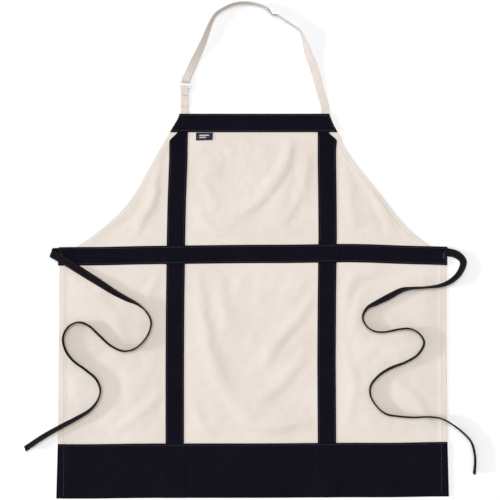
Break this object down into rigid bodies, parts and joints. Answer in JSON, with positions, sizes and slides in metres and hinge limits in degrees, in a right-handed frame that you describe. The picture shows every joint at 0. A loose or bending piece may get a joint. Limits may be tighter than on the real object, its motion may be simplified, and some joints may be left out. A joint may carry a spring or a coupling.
{
  "type": "bib apron",
  "caption": "Bib apron of natural canvas with dark webbing bands and front straps, a neck strap with ring and slider, and waist ties, laid flat.",
  "frame": {"origin": "on the back face of the canvas, at the middle of the waist band", "axes": "+Z out of the front of the apron, +Y towards the neck, +X towards the right edge in a front view"},
  "size_m": [0.924, 1.0153, 0.0216],
  "materials": {
    "canvas": "natural cotton canvas",
    "webbing": "matt dark navy webbing",
    "neck_tape": "natural cotton tape",
    "tie_tape": "dark navy tape",
    "thread": "sewing thread",
    "label_cloth": "woven label",
    "metal": "plated steel wire"
  },
  "bodies": {
    "apron": {"canvas_panel": "canvas", "bib_band": "webbing", "bib_band_back": "webbing", "waist_band": "webbing", "hem_band": "webbing", "left_armhole_facing": "canvas", "left_armhole_seam": "thread", "left_side_hem_seam": "thread", "left_front_strap": "webbing", "left_tie_bartack": "thread", "left_strap_inner_seam_skirt": "thread", "left_strap_inner_seam_bib": "thread", "left_strap_outer_seam_skirt": "thread", "left_strap_outer_seam_bib": "thread", "right_armhole_facing": "canvas", "right_armhole_seam": "thread", "right_side_hem_seam": "thread", "right_front_strap": "webbing", "right_tie_bartack": "thread", "right_strap_inner_seam_skirt": "thread", "right_strap_inner_seam_bib": "thread", "right_strap_outer_seam_skirt": "thread", "right_strap_outer_seam_bib": "thread", "waist_band_bottom_seam": "thread", "bib_band_bottom_seam": "thread", "waist_band_top_seam": "thread", "bib_band_top_seam": "thread", "hem_band_top_seam": "thread", "left_waist_tie": "tie_tape", "right_waist_tie": "tie_tape", "neck_tab_root": "neck_tape", "neck_strap_root": "neck_tape"},
    "neck_loop": {"neck_tab": "neck_tape", "neck_strap": "neck_tape", "neck_strap_return": "neck_tape", "neck_tab_bartack": "thread"},
    "ring": {"neck_ring": "metal"},
    "slider": {"neck_slider": "metal", "neck_strap_bartack": "thread"},
    "label": {"label_flap": "label_cloth"}
  },
  "joints": [
    {"name": "neck_loop_fold", "type": "hinge", "parent": "apron", "child": "neck_loop", "pos_m": [0, 0.2893, 0.0018], "axis": [1, 0, 0], "range_deg": [0, 90]},
    {"name": "strap_slide", "type": "slide", "parent": "neck_loop", "child": "slider", "axis": [0.834, -0.5518, 0], "range_m": [-0.004, 0.04], "deforming": ["neck_strap_return"]},
    {"name": "ring_swing", "type": "hinge", "parent": "neck_loop", "child": "ring", "pos_m": [-0.139, 0.3425, 0.0025], "axis": [0.9903, -0.1392, 0], "range_deg": [0, 5]},
    {"name": "label_flip", "type": "hinge", "parent": "apron", "child": "label", "pos_m": [-0.0985, 0.2498, 0.003], "axis": [-1, 0, 0], "range_deg": [0, 90]}
  ]
}
